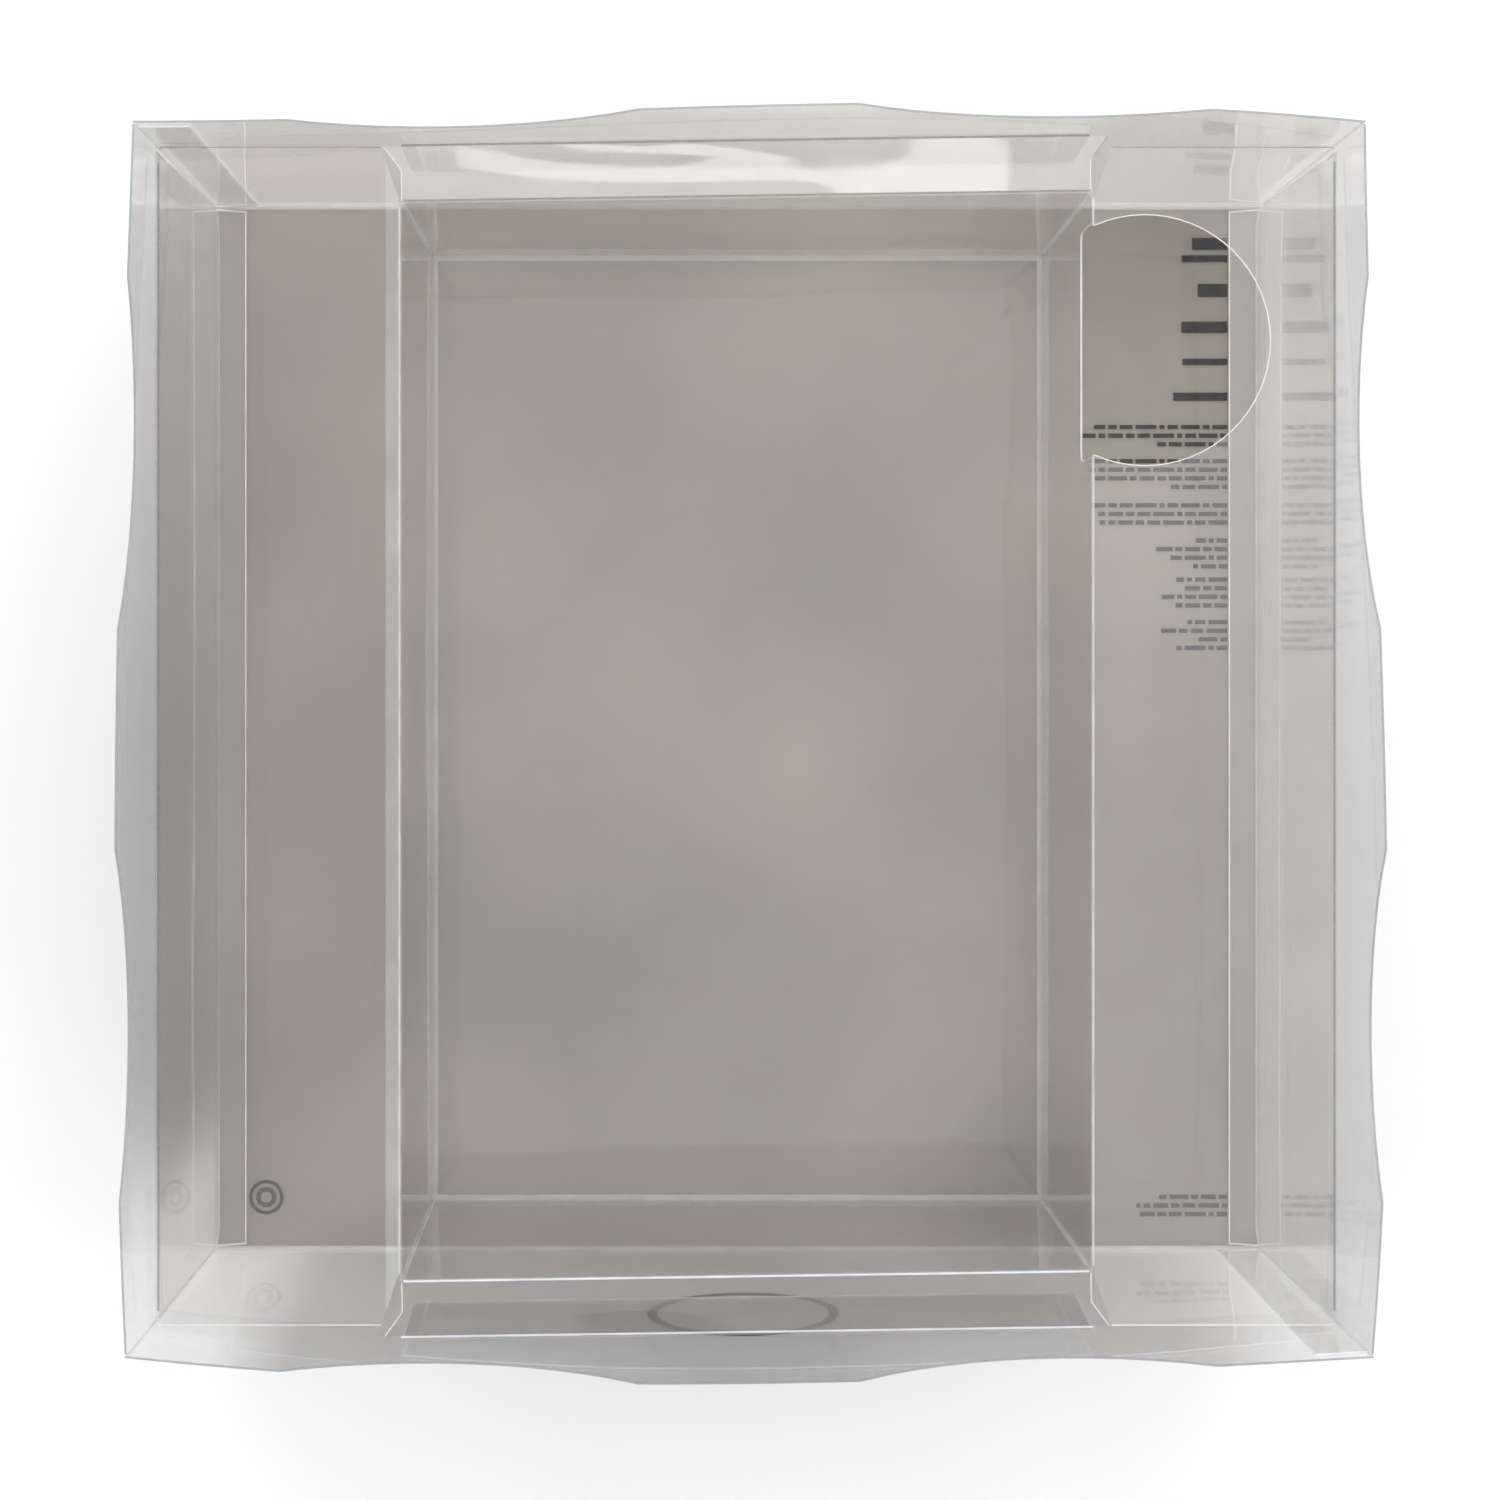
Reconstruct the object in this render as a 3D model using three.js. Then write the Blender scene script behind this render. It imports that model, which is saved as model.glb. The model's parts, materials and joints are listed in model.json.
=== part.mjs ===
// Clear shoe box folded from PET sheet: a square open tray with scalloped walls, and a lift-out
// insert folded from one blank, whose deep pocket holds a pair of shoes lying on their sides.
// Millimetres, +Z up, +Y to the back. The origin is the centre of the tray's underside.
import * as THREE from "three";

// Tray
const SHEET = 0.6; // thickness of the PET sheet
const TRAY_WIDTH = 370; // along X, outside, at the base
const TRAY_LENGTH = 369; // along Y, outside, at the base
const TRAY_HEIGHT = 154;
const SEAM = 0.3; // gap between sheets that lie against each other
const CREASE = 0.4; // gap between two panels at a fold of the tray
// How far the rim stands out over the base at the corners
const SPLAY = { frontX: 3.0, backX: 0.7, front: 2.0, back: 1.6 };

// Rim: a flat land at each corner, one in the middle, and a shallow scallop on each side of it
const MID_LAND_HALF = 33;
const CORNER_LAND_START = 139;
const SCALLOP_DEPTH = 17.5;
const SCALLOP_STEPS = 12;

// Glued flaps and tabs
const FLAP_WIDTH = 11;
const FLAP_END_INSET = 1.8;
const FLAP_TAPER = 0.8; // how much shorter its free edge is at each end
const TAB_WIDTH = 15.5;
const TAB_END_INSET = 3; // below the rim
const TAB_FOOT = 3.3; // height of its lower end
const TAB_CHAMFER = 1.5; // rise of its lower end over its width

// Insert
const DECK = 122; // height of its wings and ledges
const POCKET_HALF_WIDTH = 108; // to the outer face of the pocket's side walls
const POCKET_HALF_LENGTH = 167; // to the outer face of the pocket's end walls, at the floor
const END_FOLD = 168.3; // the end walls' folds, at the middle of the deck
const RACK = 1.6; // how far each end fold turns away from square, at the pocket's corners
const HINGE = 0.5; // gap between two panels of the insert at a fold that swings
const LEDGE_WIDTH = 18.4;
const EAR = { out: 5.6, run: 8.7 };
const TUCK_DROP = 42;
const TUCK_LEAN = 2.5; // how far the tuck flap's free edge leans in
const TUCK_CORNER = 3;
const WING_EDGE = 184.3; // outer face of the legs at the deck
const WING_HALF_LENGTH = 183.8;
const WING_CORNER = { out: 5.4, run: 16 }; // cut that clears the ledges' ears as they turn
const WING_CORNER_RADIUS = 1;
const LEG_LEAN = 1.4; // how far the legs stand in at the floor
const LEG_HALF_LENGTH = 182.2;
const LEG_CORNER = 6;
const FINGER_HOLE = { x: 124.3, y: 123.5, radius: 39 };
const NOTCH = { half: 36.5, depth: 24, corner: 3 }; // where that hole runs on below the fold

const POCKET_FLOOR = SHEET + SEAM;
const LEG_FOOT = 2 * (SHEET + SEAM);

function clearPet(color) {
  return new THREE.MeshStandardMaterial({
    color,
    roughness: 0.12,
    metalness: 0,
    transparent: true,
    opacity: 0.35,
  });
}

const trayPet = clearPet(0xc9c8c6);
const insertPet = clearPet(0xbfc3c0);

function named(name, geometry, material) {
  const mesh = new THREE.Mesh(geometry, material.clone());
  mesh.name = name;
  return mesh;
}

// ---- Tray walls ----------------------------------------------------------------------------

// Height of a wall's top edge at a distance along it from its middle.
function rimHeight(along) {
  const a = Math.abs(along);
  if (a <= MID_LAND_HALF || a >= CORNER_LAND_START) return TRAY_HEIGHT;
  const chord = CORNER_LAND_START - MID_LAND_HALF;
  const radius = chord ** 2 / (8 * SCALLOP_DEPTH) + SCALLOP_DEPTH / 2;
  const middle = (CORNER_LAND_START + MID_LAND_HALF) / 2;
  return TRAY_HEIGHT + radius - SCALLOP_DEPTH - Math.sqrt(radius ** 2 - (a - middle) ** 2);
}

function spread(from, to, steps) {
  return Array.from({ length: steps }, (_, i) => from + ((to - from) * (i + 1)) / steps);
}

// Distances along a wall where its sheet has a column of points.
function wallStations(half) {
  const right = [
    ...spread(0, MID_LAND_HALF, 3),
    ...spread(MID_LAND_HALF, CORNER_LAND_START, SCALLOP_STEPS),
    ...spread(CORNER_LAND_START, half, 4),
  ];
  return [...right.map((a) => -a).reverse(), 0, ...right];
}

// Each wall's own frame: s runs along it and "out" points away from the tray.
// bow is how far its middle stands out at the rim, and skew moves the bow's peak along it.
const WALLS = [
  {
    name: "wall_front",
    half: TRAY_WIDTH / 2,
    reach: TRAY_LENGTH / 2,
    lean: [SPLAY.front, SPLAY.front],
    endLean: [SPLAY.frontX, SPLAY.frontX],
    endInset: 0,
    bow: 7.8,
    skew: -0.3,
    place: (s, out, z) => [s, -out, z],
  },
  {
    name: "wall_back",
    half: TRAY_WIDTH / 2,
    reach: TRAY_LENGTH / 2,
    lean: [SPLAY.back, SPLAY.back],
    endLean: [SPLAY.backX, SPLAY.backX],
    endInset: 0,
    bow: 4.7,
    skew: 1.0,
    place: (s, out, z) => [s, out, z],
  },
  {
    name: "wall_left",
    half: TRAY_LENGTH / 2,
    reach: TRAY_WIDTH / 2,
    lean: [SPLAY.frontX, SPLAY.backX],
    endLean: [SPLAY.front, SPLAY.back],
    endInset: SHEET + CREASE,
    bow: 4.0,
    skew: -0.3,
    place: (s, out, z) => [-out, s, z],
  },
  {
    name: "wall_right",
    half: TRAY_LENGTH / 2,
    reach: TRAY_WIDTH / 2,
    lean: [SPLAY.frontX, SPLAY.backX],
    endLean: [SPLAY.front, SPLAY.back],
    endInset: SHEET + CREASE,
    bow: 4.5,
    skew: -0.9,
    place: (s, out, z) => [out, s, z],
  },
];

// Outer face of a wall at a distance along it and a height.
function wallFace(wall, s, z) {
  const u = s / wall.half;
  const lean = wall.lean[0] + ((wall.lean[1] - wall.lean[0]) * (u + 1)) / 2;
  const bulge = wall.bow * (1 - u ** 2) * (1 + wall.skew * u);
  return wall.reach + (lean + bulge) * (z / TRAY_HEIGHT);
}

// A closed sheet that follows a wall: columns at the stations, from bottom(s) up to top(s), with
// its outer face inset from the wall's outer face.
function wallSheet(wall, stations, bottom, top, inset) {
  const rows = 2;
  const columns = stations.length - 1;
  const geometry = new THREE.BoxGeometry(columns, 1, rows, columns, 1, rows);
  const points = geometry.attributes.position;
  const at = new THREE.Vector3();
  for (let i = 0; i < points.count; i++) {
    at.fromBufferAttribute(points, i);
    const station = stations[Math.round(at.x + columns / 2)];
    const rise = (at.z + rows / 2) / rows;
    const z = bottom(station) + (top(station) - bottom(station)) * rise;
    const end = wall.endLean[station < 0 ? 0 : 1];
    const s = station * (1 + (end * (z / TRAY_HEIGHT) - wall.endInset) / wall.half);
    const out = wallFace(wall, station, z) - inset - (at.y < 0 ? SHEET : 0);
    points.setXYZ(i, ...wall.place(s, out, z));
  }
  return facedOut(geometry, wall);
}

// Two of the walls' frames are mirrored, so their faces are turned round to point out again.
function facedOut(geometry, wall) {
  const [along, out] = [wall.place(1, 0, 0), wall.place(0, 1, 0)];
  const turn = along[0] * out[1] - along[1] * out[0];
  if (turn > 0) return geometry;
  const index = geometry.index.array;
  for (let i = 0; i < index.length; i += 3) {
    [index[i + 1], index[i + 2]] = [index[i + 2], index[i + 1]];
  }
  return geometry;
}

function trayWall(wall) {
  const stations = wallStations(wall.half);
  return named(wall.name, wallSheet(wall, stations, () => 0, rimHeight, 0), trayPet);
}

// The strip glued inside a wall next to one of its corners, where the tray's blank closes.
function seamTab(name, wall, side) {
  const start = wall.half - wall.endInset - SHEET - CREASE;
  const stations = [start - TAB_WIDTH, start - TAB_WIDTH / 2, start].map((a) => side * a);
  if (side < 0) stations.reverse();
  const bottom = (s) => TAB_FOOT + (TAB_CHAMFER * (start - Math.abs(s))) / TAB_WIDTH;
  const top = () => TRAY_HEIGHT - TAB_END_INSET;
  return named(name, wallSheet(wall, stations, bottom, top, SHEET + SEAM), trayPet);
}

// ---- Flat panels ---------------------------------------------------------------------------

// A flat panel cut to an outline, with its upper face at z = 0 of its own frame.
function cutSheet(points) {
  const shape = new THREE.Shape(points.map(([x, y]) => new THREE.Vector2(x, y)));
  const geometry = new THREE.ExtrudeGeometry(shape, { depth: SHEET, bevelEnabled: false });
  return geometry.translate(0, 0, -SHEET);
}

// Turns a flat panel so that its X, Y and Z run along the part's Y, Z and X.
function standOnEdge(mesh) {
  mesh.quaternion.setFromAxisAngle(new THREE.Vector3(1, 1, 1).normalize(), (2 * Math.PI) / 3);
}

// Points on an arc, both ends included.
function arc(cx, cy, radius, from, to, steps) {
  return Array.from({ length: steps + 1 }, (_, i) => {
    const angle = from + ((to - from) * i) / steps;
    return [cx + radius * Math.cos(angle), cy + radius * Math.sin(angle)];
  });
}

function trayBottom() {
  const x = TRAY_WIDTH / 2 - SHEET - CREASE;
  const y = TRAY_LENGTH / 2 - SHEET - CREASE;
  const outline = [
    [-x, -y],
    [x, -y],
    [x, y],
    [-x, y],
  ];
  const mesh = named("bottom_panel", cutSheet(outline), trayPet);
  mesh.position.z = SHEET;
  return mesh;
}

// The flap folded in from a side wall and glued on the bottom panel.
function glueFlap(name, side) {
  const outer = TRAY_WIDTH / 2 - SHEET - CREASE;
  const inner = outer - FLAP_WIDTH;
  const y = TRAY_LENGTH / 2 - FLAP_END_INSET;
  const outline = [
    [inner, -y + FLAP_TAPER],
    [outer, -y],
    [outer, y],
    [inner, y - FLAP_TAPER],
  ];
  const mesh = named(name, cutSheet(outline), trayPet);
  mesh.rotation.z = side < 0 ? Math.PI : 0;
  mesh.position.z = 2 * SHEET + SEAM;
  return mesh;
}

function tray() {
  const [front, back] = WALLS;
  const group = new THREE.Group();
  group.add(
    trayBottom(),
    ...WALLS.map(trayWall),
    glueFlap("glue_flap_left", -1),
    glueFlap("glue_flap_right", 1),
    seamTab("seam_tab_back_left", back, -1),
    seamTab("seam_tab_front_right", front, 1),
  );
  return group;
}

// ---- Insert --------------------------------------------------------------------------------

function pocketFloor() {
  const x = POCKET_HALF_WIDTH - SHEET - CREASE;
  const y = POCKET_HALF_LENGTH - SHEET - CREASE;
  const outline = [
    [-x, -y],
    [x, -y],
    [x, y],
    [-x, y],
  ];
  const mesh = named("pocket_floor", cutSheet(outline), insertPet);
  mesh.position.z = POCKET_FLOOR + SHEET;
  return mesh;
}

// The end walls lean out a little and twist to meet their folds, which aren't quite square.
function pocketEndWall(name, side) {
  const half = POCKET_HALF_WIDTH - SHEET - CREASE;
  const [columns, rows] = [8, 3];
  const geometry = new THREE.BoxGeometry(columns, 1, rows, columns, 1, rows);
  const points = geometry.attributes.position;
  for (let i = 0; i < points.count; i++) {
    const x = (points.getX(i) / (columns / 2)) * half;
    const rise = (points.getZ(i) + rows / 2) / rows;
    const skin = points.getY(i) < 0 ? SHEET : 0;
    const lean = END_FOLD - POCKET_HALF_LENGTH + (RACK * x) / POCKET_HALF_WIDTH;
    const y = POCKET_HALF_LENGTH + lean * rise - skin;
    points.setXYZ(i, x, y, POCKET_FLOOR + (DECK - POCKET_FLOOR) * rise);
  }
  const mesh = named(name, geometry, insertPet);
  mesh.rotation.z = side < 0 ? Math.PI : 0;
  return mesh;
}

// The cut in the right side wall's top edge, from its back end to its front end.
function notch() {
  const { half, depth, corner } = NOTCH;
  const back = FINGER_HOLE.y + half;
  const front = FINGER_HOLE.y - half;
  const middle = DECK - depth + corner;
  return [
    [back, DECK],
    ...arc(back - corner, middle, corner, 0, -Math.PI / 2, 4),
    ...arc(front + corner, middle, corner, -Math.PI / 2, -Math.PI, 4),
    [front, DECK],
  ];
}

// A side wall stands on edge, so its outline runs along Y and up Z. The right one has a notch
// below the finger hole.
function pocketSideWall(name, side) {
  const backTop = END_FOLD + side * RACK;
  const frontTop = END_FOLD - side * RACK;
  const outline = [
    [-POCKET_HALF_LENGTH, POCKET_FLOOR],
    [POCKET_HALF_LENGTH, POCKET_FLOOR],
    [backTop, DECK],
    ...(side > 0 ? notch() : []),
    [-frontTop, DECK],
  ];
  const mesh = named(name, cutSheet(outline), insertPet);
  standOnEdge(mesh);
  mesh.position.x = side > 0 ? POCKET_HALF_WIDTH : SHEET - POCKET_HALF_WIDTH;
  return mesh;
}

// Outline of a wing over +X, with its inner edge at the pocket's fold.
function wingOutline(withHole) {
  const inner = POCKET_HALF_WIDTH + HINGE;
  const outer = WING_EDGE - SHEET - HINGE;
  const y = WING_HALF_LENGTH;
  const r = WING_CORNER_RADIUS;
  const cut = WING_CORNER;
  const { x: hx, y: hy, radius } = FINGER_HOLE;
  const from = Math.PI - Math.acos((hx - inner) / radius);
  return [
    [inner, -y + cut.run],
    [inner + cut.out, -y],
    ...arc(outer - r, -y + r, r, -Math.PI / 2, 0, 4),
    ...arc(outer - r, y - r, r, 0, Math.PI / 2, 4),
    [inner + cut.out, y],
    [inner, y - cut.run],
    ...(withHole ? arc(hx, hy, radius, from, -from, 40) : []),
  ];
}

function wing(name, side) {
  const outline = wingOutline(side > 0).map(([x, y]) => [side * x, y]);
  if (side < 0) outline.reverse();
  const mesh = named(name, cutSheet(outline), insertPet);
  mesh.position.z = DECK;
  return mesh;
}

// The leg hangs from a wing's outer fold, stands on the tray's floor and holds the wing level.
function leg(name, side) {
  const drop = Math.hypot(DECK - LEG_FOOT, LEG_LEAN);
  const y = LEG_HALF_LENGTH;
  const outline = [
    [-y, 0],
    [-y, LEG_CORNER - drop],
    [LEG_CORNER - y, -drop],
    [y - LEG_CORNER, -drop],
    [y, LEG_CORNER - drop],
    [y, 0],
  ];
  const mesh = named(name, cutSheet(outline), insertPet);
  const lean = Math.asin(LEG_LEAN / drop);
  standOnEdge(mesh);
  const stand = new THREE.Group();
  stand.add(mesh);
  stand.rotation.y = lean;
  stand.position.set(WING_EDGE, 0, DECK);
  const turned = new THREE.Group();
  turned.add(stand);
  turned.rotation.z = side < 0 ? Math.PI : 0;
  return turned;
}

// The ledge bridges from an end wall's fold to the tray's wall. Its outer corners flare into
// ears, and a rounded flap hangs from its outer fold, tucked against the tray's wall.
function endLedge(end, side) {
  const half = POCKET_HALF_WIDTH - CREASE;
  const ledgeEdge = LEDGE_WIDTH - SHEET - HINGE;
  const ledge = named(
    `ledge_${end}`,
    cutSheet([
      [-half, HINGE],
      [half, HINGE],
      [half, LEDGE_WIDTH - EAR.run],
      [half + EAR.out, ledgeEdge],
      [-half - EAR.out, ledgeEdge],
      [-half, LEDGE_WIDTH - EAR.run],
    ]),
    insertPet,
  );
  const drop = Math.hypot(TUCK_DROP, TUCK_LEAN);
  const r = TUCK_CORNER;
  const flap = named(
    `tuck_flap_${end}`,
    cutSheet([
      [half, 0],
      [-half, 0],
      ...arc(r - half, r - drop, r, Math.PI, 1.5 * Math.PI, 5),
      ...arc(half - r, r - drop, r, 1.5 * Math.PI, 2 * Math.PI, 5),
    ]),
    insertPet,
  );
  // The flap hangs with its outer face away from the pocket.
  flap.rotation.x = Math.PI / 2 - Math.asin(TUCK_LEAN / drop);
  flap.position.y = LEDGE_WIDTH - SHEET;
  const group = new THREE.Group();
  group.add(ledge, flap);
  group.position.set(0, side * END_FOLD, DECK);
  group.rotation.z = Math.atan(RACK / POCKET_HALF_WIDTH) + (side < 0 ? Math.PI : 0);
  return group;
}

function insert() {
  const group = new THREE.Group();
  group.add(
    pocketFloor(),
    pocketEndWall("pocket_wall_front", -1),
    pocketEndWall("pocket_wall_back", 1),
    pocketSideWall("pocket_wall_left", -1),
    pocketSideWall("pocket_wall_right", 1),
    wing("wing_left", -1),
    wing("wing_right", 1),
    leg("leg_left", -1),
    leg("leg_right", 1),
    endLedge("front", -1),
    endLedge("back", 1),
  );
  return group;
}

const shoeBox = new THREE.Group();
shoeBox.add(tray(), insert());
export default shoeBox;
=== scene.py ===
import json
import math

import bmesh
import bpy
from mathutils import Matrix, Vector
from mathutils.bvhtree import BVHTree


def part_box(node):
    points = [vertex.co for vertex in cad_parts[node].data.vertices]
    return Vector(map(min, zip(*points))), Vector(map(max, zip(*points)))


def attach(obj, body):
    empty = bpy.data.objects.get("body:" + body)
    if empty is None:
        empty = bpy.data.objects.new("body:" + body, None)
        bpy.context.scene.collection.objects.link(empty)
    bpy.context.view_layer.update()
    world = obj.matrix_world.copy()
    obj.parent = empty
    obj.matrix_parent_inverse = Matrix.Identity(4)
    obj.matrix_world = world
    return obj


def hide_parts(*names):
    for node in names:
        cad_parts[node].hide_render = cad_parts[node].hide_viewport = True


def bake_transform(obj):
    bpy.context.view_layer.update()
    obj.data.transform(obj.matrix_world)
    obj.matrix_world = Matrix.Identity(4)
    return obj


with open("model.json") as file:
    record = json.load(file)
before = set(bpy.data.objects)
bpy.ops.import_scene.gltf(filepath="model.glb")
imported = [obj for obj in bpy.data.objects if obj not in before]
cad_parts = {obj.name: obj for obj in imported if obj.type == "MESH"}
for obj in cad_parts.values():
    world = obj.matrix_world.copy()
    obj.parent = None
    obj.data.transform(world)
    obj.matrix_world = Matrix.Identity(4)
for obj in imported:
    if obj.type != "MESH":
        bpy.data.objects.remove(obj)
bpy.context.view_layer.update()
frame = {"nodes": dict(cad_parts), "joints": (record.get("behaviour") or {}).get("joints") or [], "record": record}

MM = 0.001
# The gauge of the sheet, the level of the insert's deck and the top of the tray's walls.
SHEET = 0.6 * MM
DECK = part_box("wing_left")[1].z
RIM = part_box("wall_front")[1].z
BODY = {n: b for b, ns in frame["record"]["behaviour"]["bodies"].items() for n in ns}


# ---- Materials -----------------------------------------------------------------------------

# Scales of the noise, from clouds in the tint to the grain of ink.
CLOUD_SCALE = 9
RIPPLE_SCALE = 14
DUST_SCALE = 60
SPECK_SCALE = 90
GRAIN_SCALE = 700
# What a face reflects when it is seen head on, as a share of the light.
HEAD_ON = 0.04
# How much of the gloss at a slant a unit of painted light takes away.
DULLING = 3.5
# How far the painted shade and light in the tint and haze reach from the middle of the tray.
HALF_TRAY = 0.19


class Nodes:
    """A material's node tree, with short calls to add and join its nodes."""

    def __init__(self, name):
        self.material = bpy.data.materials.new(name)
        self.material.use_nodes = True
        self.tree = self.material.node_tree
        self.tree.nodes.clear()

    def add(self, kind, **values):
        """A new node, with its settings, or its sockets' values, by name."""
        node = self.tree.nodes.new("ShaderNode" + kind)
        for key, value in values.items():
            if hasattr(node, key):
                setattr(node, key, value)
            else:
                self.set(node, key, value)
        return node

    def set(self, node, socket, value):
        target = node.inputs[socket]
        if isinstance(value, bpy.types.NodeSocket):
            self.tree.links.new(value, target)
        else:
            target.default_value = value

    def math(self, operation, a, b):
        node = self.add("Math", operation=operation)
        self.set(node, 0, a)
        self.set(node, 1, b)
        return node.outputs[0]

    def ramp(self, factor, stops):
        node = self.add("ValToRGB")
        self.set(node, 0, factor)
        elements = node.color_ramp.elements
        while len(elements) < len(stops):
            elements.new(0.5)
        for element, (position, color) in zip(elements, stops):
            element.position = position
            element.color = (*color, 1.0)
        return node.outputs["Color"]

    def noise(self, scale, detail, shift=(0, 0, 0)):
        place = self.add("Mapping")
        self.set(place, 0, self.add("TexCoord").outputs["Object"])
        self.set(place, "Location", shift)
        node = self.add("TexNoise")
        self.set(node, "Vector", place.outputs[0])
        self.set(node, "Scale", scale)
        self.set(node, "Detail", detail)
        return node.outputs["Fac"]

    def mix(self, factor, a, b):
        node = self.add("MixShader")
        self.set(node, 0, factor)
        self.tree.links.new(a, node.inputs[1])
        self.tree.links.new(b, node.inputs[2])
        return node.outputs[0]

    def finish(self, shader):
        out = self.add("OutputMaterial")
        self.tree.links.new(shader, out.inputs["Surface"])
        return self.material


def grey(value):
    return (value, value, value)


def across_tray(n, axis, stops):
    """A grey that changes along X or Y, with stops from 0 to 1 across the tray."""
    split = n.add("SeparateXYZ")
    n.set(split, 0, n.add("TexCoord").outputs["Object"])
    half = n.math("MULTIPLY", split.outputs[axis], 0.5 / HALF_TRAY)
    return n.ramp(n.math("ADD", half, 0.5), [(at, grey(value)) for at, value in stops])


def pet(name, tint, haze=0.03, drift=0.01, seed=0.0, painted_shade=None, painted_light=None):
    """Clear PET sheet: tinted where it is looked through, glossy at a slant, with faint haze and
    rolled ripples. tint is what one face of the sheet lets through, and drift is how far it
    strays. Two ramps across the tray, each (axis, stops), paint light and shade into it: the
    first scales the tint, as painted shade, and the second adds haze and dulls the gloss, as
    painted light."""
    n = Nodes(name)
    cloud = n.noise(CLOUD_SCALE, 1, (seed, seed, 0))
    low = tuple(max(0.0, c - drift) for c in tint)
    high = tuple(min(1.0, c + drift) for c in tint)
    through = n.ramp(cloud, [(0.3, low), (0.7, high)])
    # Painted shade: a ramp across the tray darkens the tint.
    if painted_shade:
        blend = n.add("Mix", data_type="RGBA", blend_type="MULTIPLY")
        n.set(blend, 0, 1.0)
        n.set(blend, 6, through)
        n.set(blend, 7, across_tray(n, *painted_shade))
        through = blend.outputs[2]
    clear = n.add("BsdfTransparent")
    n.set(clear, "Color", through)
    dust = n.noise(DUST_SCALE, 2, (0, seed, seed))
    milk = n.add("BsdfDiffuse", Color=(0.93, 0.93, 0.92, 1))
    veil = n.ramp(dust, [(0.35, grey(haze * 0.8)), (0.75, grey(haze * 1.3))])
    # Painted light: a ramp across the tray adds to the random haze.
    if painted_light:
        cover = across_tray(n, *painted_light)
        veil = n.math("ADD", veil, cover)
    body = n.mix(veil, clear.outputs[0], milk.outputs[0])

    bump = n.add("Bump", Strength=0.35, Distance=2 * MM)
    n.set(bump, "Height", n.noise(RIPPLE_SCALE, 0, (seed, 0, 0)))
    gloss = n.add("BsdfAnisotropic", distribution="GGX", Color=(0.98, 0.98, 0.98, 1))
    n.set(gloss, "Roughness", n.ramp(dust, [(0.3, grey(0.02)), (0.8, grey(0.06))]))
    n.set(gloss, "Normal", bump.outputs[0])
    slant = n.add("LayerWeight", Blend=0.5)
    rise = n.math("POWER", slant.outputs["Facing"], 5.0)
    rise = n.math("MULTIPLY", rise, 1 - HEAD_ON)
    # The gloss is dulled where the painted light lies.
    if painted_light:
        shine = n.math("SUBTRACT", 1.0, n.math("MULTIPLY", cover, DULLING))
        rise = n.math("MULTIPLY", rise, shine)
    return n.finish(n.mix(n.math("ADD", rise, HEAD_ON), body, gloss.outputs[0]))


def edge_finish(name, color, cover, clarity=(0.96, 0.97, 0.975)):
    """A cut or creased edge, its own colour painting in the line that light draws along it."""
    n = Nodes(name)
    speck = n.noise(SPECK_SCALE, 1)
    clear = n.add("BsdfTransparent", Color=(*clarity, 1))
    glow = n.add("BsdfPrincipled", IOR=1.57)
    worn = tuple(c * 0.92 for c in color)
    n.set(glow, "Base Color", n.ramp(speck, [(0.3, worn), (0.7, color)]))
    n.set(glow, "Roughness", n.ramp(speck, [(0.3, grey(0.12)), (0.8, grey(0.3))]))
    veil = n.ramp(speck, [(0.3, grey(cover * 0.9)), (0.7, grey(cover * 1.1))])
    return n.finish(n.mix(veil, clear.outputs[0], glow.outputs[0]))


def ink_finish(name, color, cover):
    """Screen-printed ink: flat and nearly opaque, a little uneven."""
    n = Nodes(name)
    grain = n.noise(GRAIN_SCALE, 4)
    clear = n.add("BsdfTransparent", Color=(0.9, 0.9, 0.9, 1))
    ink = n.add("BsdfPrincipled")
    thin = tuple(c * 1.5 for c in color)
    n.set(ink, "Base Color", n.ramp(grain, [(0.3, color), (0.8, thin)]))
    n.set(ink, "Roughness", n.ramp(grain, [(0.3, grey(0.4)), (0.8, grey(0.6))]))
    veil = n.ramp(grain, [(0.25, grey(cover * 0.9)), (0.6, grey(cover))])
    return n.finish(n.mix(veil, clear.outputs[0], ink.outputs[0]))


# Painted shade and painted light across the tray, each as (axis, stops), with the stops from 0
# at its left or front to 1 at its right or back: the shade ramps darken a sheet's tint, and the
# light ramps add haze and dull its gloss as painted highlights.
X, Y = 0, 1
# The front wall: painted shade, darker through its middle, and painted highlights at both ends.
FRONT_PAINTED_SHADE = (X, [
    (0.07, 1.0), (0.13, 0.84), (0.2, 0.80), (0.33, 0.79), (0.47, 0.755), (0.57, 0.765),
    (0.66, 0.82), (0.76, 0.83), (0.86, 0.86), (0.95, 1.0),
])
FRONT_PAINTED_LIGHT = (X, [(0.0, 0.2), (0.07, 0.2), (0.13, 0.0), (0.88, 0.0), (0.95, 0.14), (1.0, 0.2)])
# The left wall: painted shade over most of its length, and painted highlights at its ends.
LEFT_PAINTED_SHADE = (Y, [(0.08, 1.0), (0.15, 0.93), (0.22, 0.88), (0.5, 0.88), (0.7, 0.92), (0.9, 0.95)])
LEFT_PAINTED_LIGHT = (Y, [(0.0, 0.2), (0.08, 0.15), (0.18, 0.0), (0.9, 0.0), (1.0, 0.06)])
# The right wall: painted shade towards its front, and painted highlights at its ends.
RIGHT_PAINTED_SHADE = (Y, [(0.1, 0.94), (0.5, 0.97), (0.7, 1.0)])
RIGHT_PAINTED_LIGHT = (Y, [(0.0, 0.18), (0.08, 0.08), (0.14, 0.02), (0.9, 0.0), (1.0, 0.06)])
# The right glue flap: painted light, more haze towards the back.
FLAP_PAINTED_LIGHT = (Y, [(0.25, 0.0), (0.6, 0.05), (0.8, 0.12), (1.0, 0.14)])
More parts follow.
